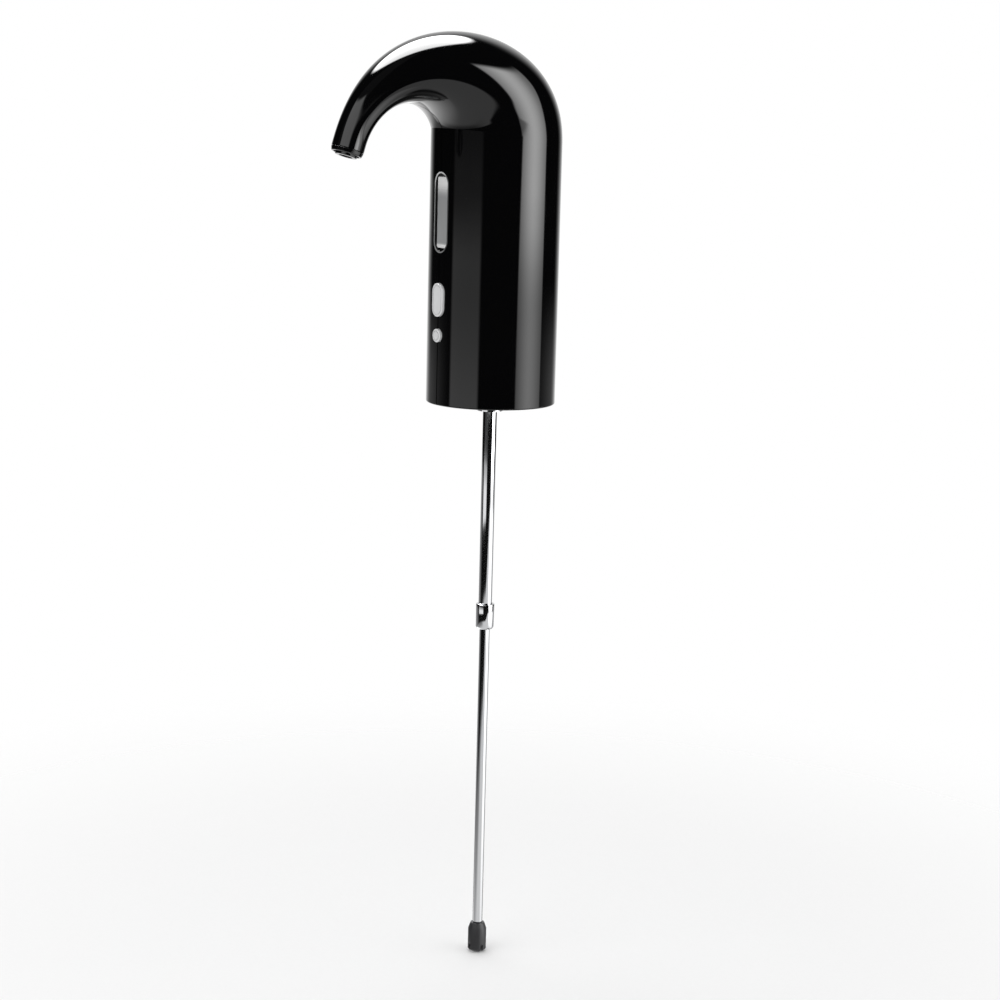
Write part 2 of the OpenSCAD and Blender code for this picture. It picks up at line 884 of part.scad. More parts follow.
module motor_terminals() {
  color("#c8a24a") for (s = [-1, 1])
    translate([drive_at[0] + s * blade_at - blade[0] / 2, drive_at[1] - blade[1] / 2, motor_top - blade_in])
      cube(blade);
}

// frame that carries the pump, the cell and the control board
module chassis() {
  cell_r = cell_d / 2;
  color("#303236") difference() {
    union() {
      disc(plate_r, deck_z, deck_z + plate_t);
      at_ears()
        disc(post_r, deck_z, cover_bottom);
      translate([cell_at[0], cell_at[1], 0]) {
        disc(cell_r + cell_wall, deck_z, cell_z + cup_deep);
        intersection() {
          disc(cell_r + cell_wall, deck_z, cell_z + arm_h);
          translate([-arm_w / 2, -cell_d, deck_z])
            cube([arm_w, 2 * cell_d, cell_z + arm_h]);
        }
      }
      at_board_screws()
        translate([-rest_w / 2, deck_z - board_low - board_up, -board_t - rest_t])
          cube([rest_w, rest_l, rest_t]);
      for (x = board_rests)
        translate([x - rest_w / 2, board_y + board_t, deck_z])
          cube([rest_w, rest_l, plate_t]);
    }
    translate([cell_at[0], cell_at[1], 0])
      disc(cell_r + ease, cell_z, cell_z + arm_h + over);
    disc(nut_room, deck_z - over, cover_bottom - over);
    at_ears()
      disc(screw_r + slip, cover_bottom - post_hole, cover_bottom + over);
    at_chassis_screws() {
      disc(screw_r + ease, deck_z - over, deck_z + plate_t + over);
      disc(head_r + gap, deck_z + plate_t, cover_bottom);
    }
    at_board_screws()
      disc(screw_r + slip, -board_t - rest_t - over, -board_t + over);
  }
}

module chassis_screws() {
  color("#b9bcc0") at_chassis_screws()
    translate([0, 0, deck_z + plate_t])
      screw(screw_r, plate_t + chassis_screw_in, head_r);
}

module battery() {
  color("#2f6f5a") translate([cell_at[0], cell_at[1], 0]) {
    disc(cell_d / 2, cell_z, cell_z + cell_l - knob_h);
    disc(cell_d / 4.5, cell_z + cell_l - knob_h - weld, cell_z + cell_l);
  }
}

module control_board() {
  color("#1f6b3a") difference() {
    union() {
      translate([board_x[0], board_y, board_z[0]])
        cube([board_x[1] - board_x[0], board_t, board_z[1] - board_z[0]]);
      translate([board_x[0] + chip_edge, board_y - chip[2], board_z[1] - chip_down])
        cube([chip[0], chip[2] + weld, chip[1]]);
    }
    at_board_screws()
      disc(screw_r + ease, -board_t - over, over);
  }
}

module board_screws() {
  color("#b9bcc0") at_board_screws()
    screw(screw_r, board_t + rest_t - pin_play, head_r);
}

module switch_case(z) {
  difference() {
    translate([-switch_w / 2, switch_y, z - switch_w / 2])
      cube([switch_w, switch_t, switch_w]);
    along_y(switch_y - over, switch_y + plunger_in + button_travel + gap, z)
      circle(r = plunger_r + gap);
  }
}

module power_switch() {
  color("#1b1b1d") switch_case(power_z);
}

module mode_switch() {
  color("#1b1b1d") switch_case(mode_z);
}

module plunger(z) {
  along_y(button_back, switch_y + plunger_in, z)
    circle(r = plunger_r);
}

module power_plunger() {
  color("#d8d4c8") plunger(power_z);
}

module mode_plunger() {
  color("#d8d4c8") plunger(mode_z);
}

// how far one plate of a piece is let into the next, and the round button's dome
tuck = 0.2;
dome_r = 9;
dome_rise = 0.4;

module power_button() {
  color("#c4c6c8") {
    intersection() {
      along_y(-body_r - button_proud - over, button_back - tuck, power_z)
        stadium(power_w, power_h);
      disc(body_r + button_proud, power_z - power_h, power_z + power_h);
    }
    along_y(button_y, button_back, power_z)
      stadium(power_w + 2 * lip, power_h + 2 * lip);
  }
}

module mode_button() {
  color("#c4c6c8") {
    intersection() {
      along_y(-body_r - button_proud - over, button_back - tuck, mode_z)
        circle(d = mode_d);
      translate([0, dome_r - body_r - button_proud - dome_rise, mode_z])
        sphere(r = dome_r);
    }
    along_y(button_y, button_back, mode_z)
      circle(d = mode_d + 2 * lip);
  }
}

// slot tray, flush with the barrel, that frames the lens
module window_bezel() {
  color("#101012") difference() {
    union() {
      intersection() {
        along_y(-body_r - over, lens_y - tuck, slot_z)
          stadium(slot_w, slot_h);
        disc(body_r, slot_z - slot_h, slot_z + slot_h);
      }
      along_y(bezel_y, lens_y, slot_z)
        stadium(slot_w + 2 * bezel_lip, slot_h + 2 * bezel_lip);
    }
    along_y(-body_r - over, -body_r + tray_depth, slot_z)
      stadium(slot_w - 2 * tray_edge, slot_h - 2 * tray_edge);
    along_y(-body_r - over, lens_y + over, slot_z)
      square([lens_w + 2 * slip, lens_h + 2 * slip], center = true);
  }
}

module window_lens() {
  color("#b8c2c8", 0.6) {
    along_y(-body_r + tray_depth, lens_y + tuck, slot_z)
      square([lens_w, lens_h], center = true);
    along_y(lens_y, lens_y + lens_t, slot_z)
      square([lens_w + 2 * lens_lip, lens_h + 2 * lens_lip], center = true);
  }
}

module sight_tube() {
  color("#cfd8dc", 0.6) translate([0, sight_y, 0])
    pipe(sight_r, sight_in, sight_low - fit_grip, sight_high + fit_grip);
}

// lower holder of the sight tube, fed from the side
sight_in_z = sight_low - fit_grip - thin_r;

module sight_inlet() {
  color("#d9d9d4") translate([0, sight_y, 0])
    difference() {
      union() {
        disc(fit_r, sight_low - low_fit_h, sight_low);
        translate([0, 0, sight_in_z])
          rotate([0, 90, 0])
            cylinder(r = thin_barb, h = fit_r + barb_thin);
      }
      disc(sight_r + slip, sight_low - fit_grip, sight_low + over);
      disc(thin_bore, sight_in_z, sight_low);
      translate([0, 0, sight_in_z])
        rotate([0, 90, 0])
          cylinder(r = thin_bore, h = fit_r + barb_thin + over);
    }
}

module sight_outlet() {
  color("#d9d9d4") translate([0, sight_y, 0])
    difference() {
      union() {
        disc(fit_r, sight_high, sight_high + fit_h);
        disc(thin_barb, sight_high + fit_h - over, sight_high + fit_h + barb_thin);
      }
      disc(sight_r + slip, sight_high - over, sight_high + fit_grip);
      disc(thin_bore, sight_high, sight_high + fit_h + barb_thin + over);
    }
}

// soft hose from the pump's outlet to the sight tube
hose_start = barb_base + (barb_root + barb_thin) * barb_dir;
hose_play = 0.2;
lead_out = 0.17 * inner_r;
lead_in = 0.2 * inner_r;

module delivery_hose() {
  a = [hose_start[0], hose_start[1], outlet_z];
  d = [fit_r + hose_play + barb_thin, sight_y, sight_in_z];
  color("#dfe3e6") hose([a, a + lead_out * [barb_dir[0], barb_dir[1], 0], d + [lead_in, 0, 0], d],
    [0.6, -0.5, 0.6], thin_r, thin_in);
}

// soft hose from the sight tube through the hook to the nozzle
nozzle_top = 6;
hose_over = 17.2;

module spout_hose() {
  a = [0, sight_y, sight_high + fit_h + hose_play + barb_thin];
  end = tip_at - (nozzle_top + hose_play + barb_thin) * tip_dir;
  d = [0, -end[0], end[1]];
  color("#dfe3e6") hose([a, [0, sight_y, arch_z + arch_rise + hose_over],
    d + arch_run * [0, tip_dir[0], -tip_dir[1]], d], [1, 0, 0], thin_r, thin_in);
}

nozzle_r = 4.95;
nozzle_in = 3;
nozzle_proud = 1;
nozzle_out = collar_s + collar_l + nozzle_proud;
nozzle_edge = 0.4;
nozzle_cone = 2.5;
funnel_top = 4.5;
shoulder = 1.5;

module nozzle_insert() {
  color("#0b0b0c") at_tip()
    rotate_extrude()
      polygon([[nozzle_in, -nozzle_cone], [thin_bore, -funnel_top], [thin_bore, -nozzle_top - barb_thin],
        [thin_barb, -nozzle_top - barb_thin], [thin_barb, -nozzle_top],
        [nozzle_r - shoulder, -nozzle_top], [nozzle_r, -nozzle_top + nozzle_cone],
        [nozzle_r, nozzle_out - nozzle_edge], [nozzle_r - nozzle_edge, nozzle_out],
        [nozzle_in, nozzle_out]]);
}

// perforated disc that breaks up the stream
aerator_t = 1.5;
hole_r = 0.5;
hole_ring = 1.75;

module aerator_disc() {
  color("#c8cacd") at_tip()
    difference() {
      disc(nozzle_in - slip, 0, aerator_t);
      disc(hole_r, -over, aerator_t + over);
      for (a = [0 : 60 : 300])
        rotate([0, 0, a])
          translate([hole_ring, 0, 0])
            disc(hole_r, -over, aerator_t + over);
    }
}

// ring that ties the casing halves together at the tip
collar_groove = 0.35;
collar_edge = 0.5;
collar_taper = 0.4;
collar_rim = 1.5;
collar_floor = 0.7;

module nozzle_collar() {
  color("#0b0b0c") at_tip()
    translate([0, 0, collar_s])
      rotate_extrude()
        polygon([[nozzle_r + slip, 0], [tip_r - collar_groove, 0], [tip_r - collar_groove, collar_groove],
          [tip_r, collar_groove], [tip_r - collar_taper, collar_l - collar_edge],
          [tip_r - collar_taper - collar_edge, collar_l],
          [tip_r - collar_rim, collar_l], [tip_r - collar_rim, collar_floor],
          [nozzle_r + slip, collar_floor]]);
}

module charge_board() {
  color("#1f6b3a") translate([-charge_board_w / 2, charge_out - charge_l - weld, charge_low])
    cube([charge_board_w, charge_board_l, charge_board_t]);
}

// metal shell of the charging socket with its tongue
module charge_socket() {
  shell_t = 0.3;
  back_t = 1;
  tongue = [0.7, 6.7, charge_l - 1.1 - weld];
  color("#c4c6c9") translate([0, charge_out - charge_l, charge_z])
    rotate([-90, 90, 0]) {
      difference() {
        linear_extrude(charge_l)
          stadium(charge_h, charge_w);
        translate([0, 0, back_t])
          linear_extrude(charge_l)
            stadium(charge_h - 2 * shell_t, charge_w - 2 * shell_t);
      }
      translate([-tongue[0] / 2, -tongue[1] / 2, back_t - weld])
        cube(tongue);
    }
}

casing_right();
casing_left();
base_cover();
base_screws();
bottle_stopper();
inlet_stem();
stem_nut();
dip_tube_upper();
tube_collar();
dip_tube_lower();
tube_foot();
suction_hose();
pump_cover();
pump_gasket();
pump_body();
pump_screws();
pump_mount_screws();
drive_gear();
idler_gear();
idler_pin();
shaft_seal();
motor_can();
motor_magnets();
armature();
motor_shaft();
motor_end_cap();
motor_terminals();
chassis();
chassis_screws();
battery();
control_board();
board_screws();
power_switch();
mode_switch();
power_plunger();
mode_plunger();
power_button();
mode_button();
window_bezel();
window_lens();
sight_tube();
sight_inlet();
sight_outlet();
delivery_hose();
spout_hose();
nozzle_insert();
aerator_disc();
nozzle_collar();
charge_board();
charge_socket();
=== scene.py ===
import json
import math

import bmesh
import bpy
from mathutils import Matrix, Vector


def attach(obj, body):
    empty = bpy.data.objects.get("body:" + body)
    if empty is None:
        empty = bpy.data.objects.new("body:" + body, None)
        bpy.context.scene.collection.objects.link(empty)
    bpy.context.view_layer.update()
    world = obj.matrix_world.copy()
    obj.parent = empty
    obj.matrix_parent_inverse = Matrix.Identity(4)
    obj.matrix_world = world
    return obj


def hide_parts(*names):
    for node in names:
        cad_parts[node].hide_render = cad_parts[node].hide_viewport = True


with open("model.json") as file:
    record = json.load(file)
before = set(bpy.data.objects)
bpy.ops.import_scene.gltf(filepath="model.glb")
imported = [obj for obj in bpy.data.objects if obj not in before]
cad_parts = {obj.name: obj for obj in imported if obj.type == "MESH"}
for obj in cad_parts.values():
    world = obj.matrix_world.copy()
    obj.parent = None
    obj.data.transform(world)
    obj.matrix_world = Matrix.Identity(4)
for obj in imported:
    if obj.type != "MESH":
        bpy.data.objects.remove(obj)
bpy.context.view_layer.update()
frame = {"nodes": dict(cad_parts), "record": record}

unit = 0.001  # the sizes below are in millimetres
print("frame loaded,", len(frame["nodes"]), "nodes")


def deselect():
    if bpy.context.object and bpy.context.object.mode != "OBJECT":
        bpy.ops.object.mode_set(mode="OBJECT")
    bpy.ops.object.select_all(action="DESELECT")


def hold(piece):
    deselect()
    piece.select_set(True)
    bpy.context.view_layer.objects.active = piece


def settle(name):  # names the new primitive and moves its place into its mesh
    piece = bpy.context.object
    piece.name = piece.data.name = name
    bpy.ops.object.transform_apply(location=True, rotation=True, scale=True)
    return piece


def edit(piece):
    hold(piece)
    bpy.ops.object.mode_set(mode="EDIT")
    bpy.ops.mesh.select_mode(type="VERT")
    bpy.ops.mesh.select_all(action="SELECT")


def pick(piece, kind, test):  # selects points or edges by their place in mm
    bpy.ops.mesh.select_mode(type=kind)
    bpy.ops.mesh.select_all(action="DESELECT")
    mesh = bmesh.from_edit_mesh(piece.data)
    if kind == "VERT":
        for point in mesh.verts:
            point.select_set(test(point.co / unit))
    else:
        for edge in mesh.edges:
            edge.select_set(test(edge.verts[0].co / unit, edge.verts[1].co / unit))
    mesh.select_flush_mode()
    bmesh.update_edit_mesh(piece.data)


def extrudeBy(x, y, z):
    bpy.ops.mesh.extrude_region_move(TRANSFORM_OT_translate={"value": (x * unit, y * unit, z * unit)})


def faceOut(piece):  # merges doubles and turns the faces outwards
    edit(piece)
    bpy.ops.mesh.remove_doubles(threshold=0.0005 * unit)
    bpy.ops.mesh.normals_make_consistent(inside=False)
    bpy.ops.object.mode_set(mode="OBJECT")


def apply(piece, kind, **settings):
    hold(piece)
    tool = piece.modifiers.new(kind.lower(), kind)
    for key, value in settings.items():
        setattr(tool, key, value)
    bpy.ops.object.modifier_apply(modifier=tool.name)


def roundEdges(piece, width, segments=3, angle=35):
    apply(piece, "BEVEL", width=width * unit, segments=segments, limit_method="ANGLE",
          angle_limit=math.radians(angle), use_clamp_overlap=True)


def smooth(piece, angle=32):
    hold(piece)
    bpy.ops.object.shade_smooth_by_angle(angle=math.radians(angle))


def cut(piece, cutter, operation="DIFFERENCE"):
    apply(piece, "BOOLEAN", operation=operation, object=cutter, solver="EXACT")
    bpy.data.objects.remove(cutter)


def turned(name, profile, segments=96, closed=True):  # ring carried along a profile of (radius, height)
    deselect()
    bpy.ops.mesh.primitive_circle_add(vertices=segments, radius=profile[0][0] * unit,
                                      location=(0, 0, profile[0][1] * unit))
    piece = settle(name)
    edit(piece)
    for (ra, ha), (rb, hb) in zip(profile, profile[1:] + (profile[:1] if closed else [])):
        extrudeBy(0, 0, hb - ha)
        bpy.ops.transform.resize(value=(rb / ra, rb / ra, 1), center_override=(0, 0, hb * unit))
    if not closed:
        bpy.ops.mesh.edge_face_add()
        pick(piece, "VERT", lambda at: abs(at.z - profile[0][1]) < 1e-4)
        bpy.ops.mesh.edge_face_add()
    faceOut(piece)
    return piece


def slab(name, width, height, z, yBack, yFront, sides=64):  # long round-ended block that faces forward
    deselect()
    bpy.ops.mesh.primitive_circle_add(vertices=sides, radius=width / 2 * unit, fill_type="NGON",
                                      location=(0, yBack * unit, z * unit), rotation=(math.pi / 2, 0, 0))
    piece = settle(name)
    edit(piece)
    for side in (1, -1):
        pick(piece, "VERT", lambda at: side * (at.z - z) > 1e-3)
        bpy.ops.transform.translate(value=(0, 0, side * (height - width) / 2 * unit))
    bpy.ops.mesh.select_all(action="SELECT")
    extrudeBy(0, yFront - yBack, 0)
    faceOut(piece)
    return piece


def block(name, low, high):
    deselect()
    middle = [(a + b) / 2 * unit for a, b in zip(low, high)]
    bpy.ops.mesh.primitive_cube_add(size=1, location=middle,
                                    scale=[(b - a) * unit for a, b in zip(low, high)])
    return settle(name)


def placed(piece, at, turn):  # moves a turned piece to its place and keeps that in the mesh
    hold(piece)
    piece.location = [v * unit for v in at]
    piece.rotation_euler = (math.radians(turn), 0, 0)
    bpy.ops.object.transform_apply(location=True, rotation=True, scale=True)
    return piece


class Wire:  # a socket of a shader tree that takes part in sums
    def __init__(self, tree, socket=None):
        self.tree = tree
        self.socket = socket

    def add(self, kind, settings=None, sockets=None, out=0):
        node = self.tree.nodes.new(kind)
        for key, value in (settings or {}).items():
            setattr(node, key, value)
        for key, value in (sockets or {}).items():
            self.feed(node.inputs[key], value)
        return Wire(self.tree, node.outputs[out])

    def feed(self, target, value):
        if isinstance(value, Wire):
            self.tree.links.new(value.socket, target)
        else:
            target.default_value = value

    def sum(self, operation, first, second):
        return self.add("ShaderNodeMath", {"operation": operation}, {0: first, 1: second})

    def __add__(self, other): return self.sum("ADD", self, other)
    def __radd__(self, other): return self.sum("ADD", other, self)
    def __sub__(self, other): return self.sum("SUBTRACT", self, other)
    def __rsub__(self, other): return self.sum("SUBTRACT", other, self)
    def __mul__(self, other): return self.sum("MULTIPLY", self, other)
    def __rmul__(self, other): return self.sum("MULTIPLY", other, self)
    def __pow__(self, other): return self.sum("POWER", self, other)

    def step(self, low, high):  # 0 below low, 1 above high, smooth between
        return self.add("ShaderNodeMapRange", {"interpolation_type": "SMOOTHSTEP"},
                        {"Value": self, "From Min": low, "From Max": high, "To Min": 0.0, "To Max": 1.0})

    def between(self, dark, light):  # a colour between two
        return self.add("ShaderNodeMix", {"data_type": "RGBA"},
                        {"Factor": self, 6: (*dark, 1), 7: (*light, 1)}, out=2)

    def place(self, stretch=(1, 1, 1)):
        spot = self.add("ShaderNodeTexCoord", out="Object")
        return self.add("ShaderNodeMapping", {}, {"Vector": spot, "Scale": stretch})

    def along(self, axis):  # one coordinate of the object
        return self.add("ShaderNodeSeparateXYZ", {}, {0: self.place()}, out=axis)

    def spread(self):  # distance from the object's upright axis
        flat = self.add("ShaderNodeVectorMath", {"operation": "MULTIPLY"}, {0: self.place(), 1: (1, 1, 0)})
        return self.add("ShaderNodeVectorMath", {"operation": "LENGTH"}, {0: flat}, out="Value")

    def noise(self, scale, stretch=(1, 1, 1), detail=2.0, rough=0.5):
        return self.add("ShaderNodeTexNoise", {},
                        {"Vector": self.place(stretch), "Scale": scale, "Detail": detail, "Roughness": rough})

    def specks(self, scale, reach):  # small spots, 1 at their middle
        spots = self.add("ShaderNodeTexVoronoi", {"feature": "F1"},
                         {"Vector": self.place(), "Scale": scale, "Randomness": 1.0})
        return 1 - spots.step(0.0, reach)

    def bump(self, strength, depth):
        return self.add("ShaderNodeBump", {},
                        {"Height": self, "Strength": strength, "Distance": depth * unit})


def finish(name, wires, **fixed):  # wires maps a socket to what varies; fixed ones are plain numbers
    look = bpy.data.materials.new(name)
    look.use_nodes = True
    tree = look.node_tree
    shader = tree.nodes["Principled BSDF"]
    for key, value in fixed.items():
        shader.inputs[key.replace("_", " ")].default_value = value
    start = Wire(tree)
    for key, value in wires(start).items():
        start.feed(shader.inputs[key], value)
    return look


def glossBlack(w):
    smear = w.noise(38, detail=3.0)
    return {
        "Base Color": w.specks(700, 0.045).between((0.0016, 0.0016, 0.0018), (0.02, 0.02, 0.021)),
        "Roughness": 0.035 + 0.05 * smear.step(0.35, 0.75),
        "Normal": w.noise(160, detail=1.0).bump(0.05, 0.02),
    }


def satinBlack(w):
    grain = w.noise(2600, detail=1.0)
    return {
        "Base Color": w.noise(60).between((0.016, 0.016, 0.017), (0.026, 0.026, 0.028)),
        "Roughness": 0.42 + 0.16 * grain,
        "Normal": grain.bump(0.25, 0.03),
    }


def screwSteel(w):
    turning = w.noise(420, (1, 1, 6), detail=3.0)
    return {
        "Base Color": turning.between((0.46, 0.47, 0.49), (0.66, 0.67, 0.68)),
        "Roughness": 0.24 + 0.2 * w.noise(300),
        "Normal": turning.bump(0.15, 0.02),
    }


def darkSilicone(w):
    bloom = w.noise(90, detail=3.0)
    return {
        "Base Color": bloom.between((0.018, 0.018, 0.02), (0.034, 0.034, 0.037)),
        "Roughness": 0.48 + 0.14 * bloom,
        "Normal": w.noise(1800, detail=1.0).bump(0.2, 0.02),
    }


def clearSilicone(w):
    milk = w.noise(110, detail=2.0)
    return {
        "Base Color": milk.between((0.7, 0.72, 0.74), (0.82, 0.84, 0.86)),
        "Roughness": 0.34 + 0.12 * milk,
        "Normal": w.noise(700).bump(0.1, 0.03),
    }


def tubeSteel(w):
    drawn = w.noise(900, (1, 1, 0.02), detail=2.0)
    return {
        "Base Color": w.noise(45, (1, 1, 0.3)).between((0.66, 0.67, 0.69), (0.78, 0.785, 0.79)),
        "Roughness": 0.05 + 0.07 * drawn,
        "Normal": drawn.bump(0.08, 0.01),
    }


def palePlastic(w):
    flow = w.noise(55, detail=3.0)
    return {
        "Base Color": flow.between((0.7, 0.68, 0.62), (0.8, 0.78, 0.72)),
        "Roughness": 0.4 + 0.14 * flow,
        "Normal": w.noise(1500).bump(0.15, 0.02),
    }


def gearPlastic(w):
    flow = w.noise(140, detail=2.0)
    return {
        "Base Color": flow.between((0.78, 0.755, 0.67), (0.87, 0.85, 0.78)),
        "Roughness": 0.34 + 0.16 * flow,
        "Normal": w.noise(1900).bump(0.12, 0.015),
    }


def motorSteel(w):
    rolled = w.noise(500, (1, 1, 0.08), detail=2.0)
    return {
        "Base Color": rolled.between((0.44, 0.45, 0.47), (0.58, 0.59, 0.6)),
        "Roughness": 0.22 + 0.18 * rolled,
        "Normal": rolled.bump(0.1, 0.015),
    }


def ferrite(w):
    grain = w.noise(1400, detail=3.0)
    return {
        "Base Color": grain.between((0.035, 0.035, 0.038), (0.075, 0.075, 0.08)),
        "Roughness": 0.6 + 0.2 * grain,
        "Normal": grain.bump(0.35, 0.03),
    }


def copperWinding(w):
    turns = w.add("ShaderNodeTexWave", {"wave_type": "BANDS", "bands_direction": "Z"},
                  {"Vector": w.place(), "Scale": 620.0, "Distortion": 0.4, "Detail": 1.0})
    return {
        "Base Color": turns.between((0.34, 0.15, 0.06), (0.62, 0.31, 0.14)),
        "Roughness": 0.26 + 0.14 * turns,
        "Normal": turns.bump(0.5, 0.08),
    }


def terminalBrass(w):
    stamp = w.noise(350, detail=3.0)
    return {
        "Base Color": stamp.between((0.6, 0.44, 0.17), (0.76, 0.59, 0.26)),
        "Roughness": 0.24 + 0.16 * stamp,
        "Normal": stamp.bump(0.12, 0.02),
    }


def cellWrap(w):
    crease = w.noise(260, (1, 1, 0.2), detail=3.0)
    return {
        "Base Color": crease.between((0.035, 0.17, 0.13), (0.06, 0.24, 0.19)),
        "Roughness": 0.22 + 0.12 * crease,
        "Normal": crease.bump(0.2, 0.03),
    }


def boardGreen(w):
    tracks = w.add("ShaderNodeTexBrick", {"offset": 0.5},
                   {"Vector": w.place(), "Scale": 300.0, "Mortar Size": 0.03, "Color1": (0, 0, 0, 1),
                    "Color2": (0, 0, 0, 1), "Mortar": (1, 1, 1, 1)})
    weave = w.noise(900, detail=1.0)
    return {
        "Base Color": (tracks * 0.7 + 0.3 * weave).between((0.012, 0.11, 0.045), (0.035, 0.24, 0.1)),
        "Roughness": 0.28 + 0.15 * weave,
        "Normal": (tracks * 0.6 + 0.4 * weave).bump(0.25, 0.03),
    }


def silverSatin(w):
    blast = w.noise(2400, detail=1.0)
    return {
        "Base Color": w.noise(260, (1, 1, 0.5)).between((0.62, 0.625, 0.63), (0.72, 0.725, 0.73)),
        "Roughness": 0.3 + 0.12 * blast,
        "Normal": blast.bump(0.12, 0.015),
    }


def clearPlastic(w):
    haze = w.noise(120, detail=2.0)
    return {
        "Base Color": haze.between((0.5, 0.51, 0.52), (0.6, 0.61, 0.62)),
        "Roughness": 0.12 + 0.1 * haze,
        "Normal": w.noise(300).bump(0.04, 0.02),
    }


def lensPlastic(w):  # clear in the middle, rougher towards both ends, with the base colour whitened there as a painted highlight
    height = w.along("Z")
    # painted highlight: the base colour turns near white at both ends, in a wider band at the top than at the
    # bottom; the same mask also raises roughness there
    frostAndPaintedHighlight = height.step(0.0722, 0.0795) + (1 - height.step(0.0506, 0.0522)) + 0.06 * w.noise(900, (1, 1, 0.1))
    return {
        "Base Color": frostAndPaintedHighlight.between((0.36, 0.365, 0.37), (0.95, 0.95, 0.95)),
        "Roughness": 0.1 + 0.3 * frostAndPaintedHighlight,
        "Normal": w.noise(300).bump(0.04, 0.02),
    }


def trayBlack(w):  # gloss black with a painted highlight line round its rim, lighter towards the top and darker on the right side
    rim = w.spread().step(0.0297, 0.0298)
    smear = w.noise(38, detail=3.0)
    # painted highlight on the rim: a pale base colour that gets lighter towards the top and darker on the +X
    # side
    paintedRimHighlight = (0.27 + 0.48 * w.along("Z").step(0.074, 0.082)) * (1 - 0.8 * w.along("X").step(0.002, 0.0044))
    return {
        "Base Color": (rim * paintedRimHighlight).between((0.0016, 0.0016, 0.0018), (0.75, 0.755, 0.76)),
        "Roughness": 0.06 + 0.22 * rim + 0.04 * smear,
        "Normal": w.noise(900, detail=1.0).bump(0.05, 0.02),
    }


def nozzleChrome(w):
    polish = w.noise(600, detail=2.0)
    return {
        "Base Color": polish.between((0.72, 0.725, 0.735), (0.82, 0.825, 0.83)),
        "Roughness": 0.05 + 0.08 * polish,
        "Normal": polish.bump(0.04, 0.01),
    }


looks = {
    "gloss_black": finish("glossBlack", glossBlack),
    "satin_black": finish("satinBlack", satinBlack),
    "screw_steel": finish("screwSteel", screwSteel, Metallic=1.0),
    "dark_silicone": finish("darkSilicone", darkSilicone, Sheen_Weight=0.1),
    "clear_silicone": finish("clearSilicone", clearSilicone, Transmission_Weight=0.35),
    "tube_steel": finish("tubeSteel", tubeSteel, Metallic=1.0),
    "pale_plastic": finish("palePlastic", palePlastic),
    "gear_plastic": finish("gearPlastic", gearPlastic),
    "motor_steel": finish("motorSteel", motorSteel, Metallic=1.0),
    "ferrite": finish("ferrite", ferrite),
    "copper_winding": finish("copperWinding", copperWinding, Metallic=1.0),
    "terminal_brass": finish("terminalBrass", terminalBrass, Metallic=1.0),
    "cell_wrap": finish("cellWrap", cellWrap),
    "board_green": finish("boardGreen", boardGreen),
    "silver_satin": finish("silverSatin", silverSatin, Metallic=0.05),
    "clear_plastic": finish("clearPlastic", clearPlastic, Transmission_Weight=0.45),
    "nozzle_chrome": finish("nozzleChrome", nozzleChrome, Metallic=1.0),
}
lensLook = finish("lensPlastic", lensPlastic, Transmission_Weight=0.3)
trayLook = finish("trayBlack", trayBlack)
for part in frame["record"]["subparts"]:
    node = frame["nodes"][part["node"]]
    if not node.material_slots:
        node.data.materials.append(looks[part["material_slot"]])
    for socket in node.material_slots:
        socket.material = looks[part["material_slot"]]
print("finishes ready,", len(looks))


def dress(piece, body, slot, *nodes, look=None):  # finish, motion and the CAD nodes that the piece stands for
    piece.data.materials.clear()
    piece.data.materials.append(look or looks[slot])
    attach(piece, body)
    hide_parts(*nodes)
    print("piece", piece.name, "on", body, len(piece.data.polygons), "faces")


# two casing halves: half a ring carried from the rim up the barrel and over the hook
casing = {
    "radius": 30, "wall": 2.2, "rim": -22, "bend": 97, "frontStep": 6.3,
    "tip": (78.1, 96.6), "tipRadius": 7.35, "tilt": 17.5, "tail": 3.1,
    "backRise": 60, "topRun": 71.5, "archLean": 22, "archRise": 12.3, "archRun": 30,
    "arcSteps": 120, "barrelSteps": 16, "hookSteps": 84,
    "seam": 0.38, "rimRound": 0.6,
}
window = {"slot": (11.3, 36.4), "z": 65.7, "tray": 1.1, "edge": 0.6, "lens": (8, 32), "corner": 0.8,
          "lip": 1.6, "plate": 1, "ledge": 1, "lensPlate": 1.1}
buttons = {"long": (8.4, 15.2), "longZ": 26.3, "round": 6.1, "roundZ": 10.1, "proud": 0.9, "lip": 1.5,
           "front": -26.91, "back": -25.91, "dome": 9, "chamfer": 0.45, "gap": 0.3, "groove": (0.8, 0.4, 0.3)}
charge = {"size": (3.26, 8.94), "z": -10, "gap": 0.3}


